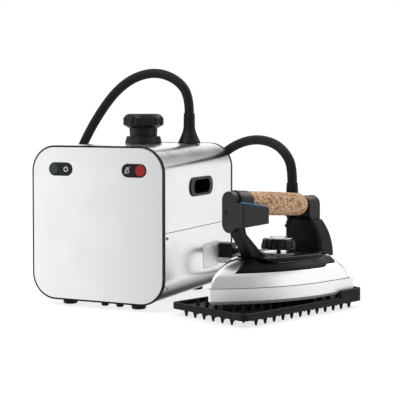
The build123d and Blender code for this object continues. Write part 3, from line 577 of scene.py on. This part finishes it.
def between(values, t):
    """A smooth curve through rows of numbers, t rows from the first."""
    k = min(int(t), len(values) - 2)
    f = t - k
    rows = [values[min(max(j, 0), len(values) - 1)] for j in range(k - 1, k + 3)]
    return [
        b + 0.5 * f * (c - a + f * (2 * a - 5 * b + 4 * c - d + f * (3 * (b - c) + d - a)))
        for a, b, c, d in zip(*rows)
    ]


def iron_cover():
    """The domed aluminium cover: one smooth skin that starts just above the sole."""
    bm = bmesh.new()
    rings, steps = [], 5
    for k in range(steps * (len(COVER_RINGS) - 1) + 1):
        inset, heel, z = between(COVER_RINGS, k / steps)
        right = iron_outline(inset, heel, 9 + 0.3 * inset)
        left = [(-x, y) for x, y in reversed(right[1:])]
        rings.append([bm.verts.new((x, y, z)) for x, y in (*right, *left)])
    for low, high in zip(rings, rings[1:]):
        for j in range(len(low)):
            n = (j + 1) % len(low)
            bm.faces.new((low[j], low[n], high[n], high[j]))
    bm.faces.new(rings[-1])
    cover = mesh_object("polished_iron_cover", bm, cover_metal, iron_frame(), smooth=50)
    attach(cover, "iron")
    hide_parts("iron_cover")


def tray_highlight_beads():
    """Two beads along the handle tray, on its top edge and on its wall below the groove, coloured light grey
    as painted highlights of the tray's rounded edges.
    """
    for name, z, front, inset, width in TRAY_HIGHLIGHT_BEADS:
        right = [p for p in iron_outline(inset, 100 - inset, TRAY_CORNER) if p[1] > front]
        whole = [*right, *[(-x, y) for x, y in reversed(right)]]
        bead = ribbons([whole], width, 0.5)
        place = iron_frame() @ Matrix.Translation((0, 0, z))
        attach(mesh_object(name, bead, painted_highlight_grey, place), "iron")


def sole_painted_shade():
    """A black strip of painted shade where the cover meets the sole plate, in the narrow gap between them.
    """
    right = iron_outline(1.6, 108.6, 6)
    whole = [*right, *[(-x, y) for x, y in reversed(right)]]
    painted_shade_strip = ribbons([whole], 1.6, 0.5)
    place = iron_frame() @ Matrix.Translation((0, 0, SOLE_TOP))
    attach(mesh_object("cover_painted_shade", painted_shade_strip, black_print, place), "iron")


# ---- studio ---------------------------------------------------------------------------------------
# The cards round the object, each with its compass bearing from +Y towards +X, its height above the
# horizon, how far it is full and where it ends, all in degrees, and its brightness.
ROOM_GREY = 0.42
ROOM_CARDS = (
    (-25, 3, 14, 30, 1.08), (46, -4, 22, 33, 0.97), (-120, -5, 23, 39, 1.14), (-60, 78, 14, 44, 1.1),
    (-8, -36, 6, 24, 0.03), (70, 12, 24, 46, 1.05), (5, 26, 3, 12, 0.2),
)


def toward(bearing, height):
    b, h = math.radians(bearing), math.radians(height)
    return Vector((math.sin(b) * math.cos(h), math.cos(b) * math.cos(h), math.sin(h)))


def room():
    """A grey room with large soft white and black cards. Seen directly it is plain white."""
    world = bpy.data.worlds.new("room")
    bpy.context.scene.world = world
    world.use_nodes = True
    net = Net(world.node_tree)
    net.tree.nodes["Background"].inputs["Color"].default_value = (1, 1, 1, 1)
    direction = net.node("TexCoord").outputs["Generated"]
    level = None
    for bearing, height, full, end, brightness in ROOM_CARDS:
        near = net.node("VectorMath", {0: direction}, operation="DOT_PRODUCT")
        near.inputs[1].default_value = toward(bearing, height)
        share = net.node(
            "MapRange", {"Value": near.outputs["Value"]}, interpolation_type="SMOOTHSTEP",
            From_Min=math.cos(math.radians(end)), From_Max=math.cos(math.radians(full)),
        )
        share_out = {"Value": share.outputs["Result"]}
        mix = net.node("MapRange", share_out, To_Min=ROOM_GREY, To_Max=brightness)
        if level is not None:
            net.tree.links.new(level, mix.inputs["To Min"])
        level = mix.outputs["Result"]
    path = net.node("LightPath")
    seen = net.node("MapRange", {"Value": path.outputs["Is Camera Ray"], "To Min": level}, To_Max=1.0)
    net.tree.links.new(seen.outputs["Result"], net.tree.nodes["Background"].inputs["Strength"])


def floor():
    """A white floor, lit from inside so that shadows stay faint. The metal mirrors only the room."""
    look = Look("floor", (0.25, 0.25, 0.25), 0.6, Emission_Color=(1, 1, 1, 1), Emission_Strength=0.75)
    bm = bmesh.new()
    bmesh.ops.create_grid(bm, x_segments=1, y_segments=1, size=30)
    made = mesh_object("floor", bm, look, Matrix.Translation((0, 0, -0.0005)))
    made.visible_glossy = False


def softbox(name, at, towards, size, power):
    data = bpy.data.lights.new(name, "AREA")
    data.shape = "RECTANGLE"
    data.size, data.size_y = size
    data.energy = power
    lamp = bpy.data.objects.new(name, data)
    lamp.location = at
    lamp.rotation_euler = (Vector(towards) - Vector(at)).to_track_quat("-Z", "Y").to_euler()
    bpy.context.scene.collection.objects.link(lamp)


def studio():
    bpy.context.scene.view_settings.view_transform = "Standard"
    room()
    floor()
    softbox("key", (-1.0, -1.3, 2.2), (0, 0, 0.1), (1.2, 1.2), 30)
    softbox("rim", (0.6, 1.6, 1.8), (0, 0, 0.1), (1.6, 0.8), 14)


CAMERA_AT, CAMERA_TURN = (807.1, -1396.4, 282.9), 0.43  # in the boiler's frame, and in radians
PITCH = math.radians(2.2)
# Lens and picture in units of a 400-unit wide picture; the horizon lies this far above its middle.
FOCAL, PICTURE, HORIZON = 1100.0, 400.0, 84.9


def camera():
    data = bpy.data.cameras.new("camera")
    data.sensor_width = 36.0
    data.lens = data.sensor_width * FOCAL / PICTURE
    data.shift_y = -(HORIZON - FOCAL * math.tan(PITCH)) / PICTURE
    data.clip_start, data.clip_end = 0.05, 100
    made = bpy.data.objects.new("camera", data)
    made.location = boiler(*CAMERA_AT)
    made.rotation_euler = (math.pi / 2 - PITCH, 0, CAMERA_TURN)
    bpy.context.scene.collection.objects.link(made)
    bpy.context.scene.camera = made


# ---- assembly -------------------------------------------------------------------------------------
steel = polished_steel()
dark_steel = plain_metal("dark_steel", (0.42, 0.42, 0.42), 0.3)
brass = plain_metal("brass", (0.72, 0.53, 0.24), 0.28)
black_rubber = rubber("black_rubber", (0.007, 0.007, 0.007), 0.45)
black_plastic = moulded_plastic("black_plastic", (0.007, 0.007, 0.007), 0.32)
charcoal_plastic = moulded_plastic("charcoal_plastic", (0.013, 0.013, 0.014), 0.34)
gloss_black = moulded_plastic("gloss_black", (0.006, 0.006, 0.006), 0.14, depth=0.05)
blue_plastic = moulded_plastic("blue_plastic", (0.06, 0.28, 0.58), 0.25, depth=0.1)
board_green = moulded_plastic("board_green", (0.03, 0.16, 0.07), 0.45)
cover_metal, sole_metal = polished_aluminium(), satin_aluminium()
silver = plain_metal("silver", (0.80, 0.80, 0.80), 0.18)
silicone = rubber("silicone", (0.005, 0.005, 0.005), 0.5)
cork_look = cork()
red_lens = tinted_lens("red_lens", (0.22, 0.004, 0.005))
green_lens = tinted_lens("green_lens", (0.006, 0.018, 0.013))
sleeve = braided_sleeve()
white_print = moulded_plastic("white_print", (0.80, 0.80, 0.80), 0.5, depth=0.05)
grey_print = moulded_plastic("grey_print", (0.22, 0.22, 0.22), 0.5, depth=0.05)
black_print = moulded_plastic("black_print", (0.012, 0.012, 0.012), 0.4, depth=0.05)
label_silver = plain_metal("label_silver", (0.95, 0.95, 0.95), 0.42)
black_webbing = webbing()
shield_black = moulded_plastic("shield_black", (0.003, 0.003, 0.003), 0.34, depth=0.1, shine=0.1)
frame_black = moulded_plastic("frame_black", (0.008, 0.008, 0.0085), 0.3, depth=0.15, shine=0.16)
# light grey for the tray beads: painted highlight on the black tray's edges
painted_highlight_grey = moulded_plastic("painted_highlight_grey", (0.15, 0.15, 0.153), 0.25, depth=0.05)

SLOT_LOOKS = {
    "polished_steel": steel, "inner_steel": dark_steel, "screws": dark_steel, "black_trim": black_rubber,
    "black_plastic": black_plastic, "control_bezels": gloss_black, "green_button": green_lens,
    "red_lens": red_lens, "circuit_board": board_green, "brass": brass, "hose_boots": black_rubber,
    "hose_sleeve": sleeve, "mains_cable": black_rubber, "plug_pins": brass, "silicone": silicone,
    "aluminium": sole_metal, "polished_cover": cover_metal, "iron_plastic": charcoal_plastic,
    "cork": cork_look, "blue_lever": blue_plastic, "dial_black": gloss_black, "dial_silver": silver,
}
NODE_LOOKS = {  # these differ from their slot's look
    "housing_screws": black_plastic, "heat_shield": shield_black,
    "handle_frame": frame_black, "rear_housing": frame_black,
}
for part in frame["record"]["subparts"]:
    mesh = nodes[part["node"]].data
    look = NODE_LOOKS.get(part["node"], SLOT_LOOKS[part["material_slot"]])
    mesh.materials.clear()
    mesh.materials.append(look.material)

studio()
camera()
lamp_symbols()
panel_bead()
rating_plate()
coil_ties()
cap_rings()
dial_marks()
iron_cover()
tray_highlight_beads()
sole_painted_shade()
hose, hose_path, hose_length = steam_hose(sleeve)
lead, lead_path, lead_length = mains_lead(black_rubber)
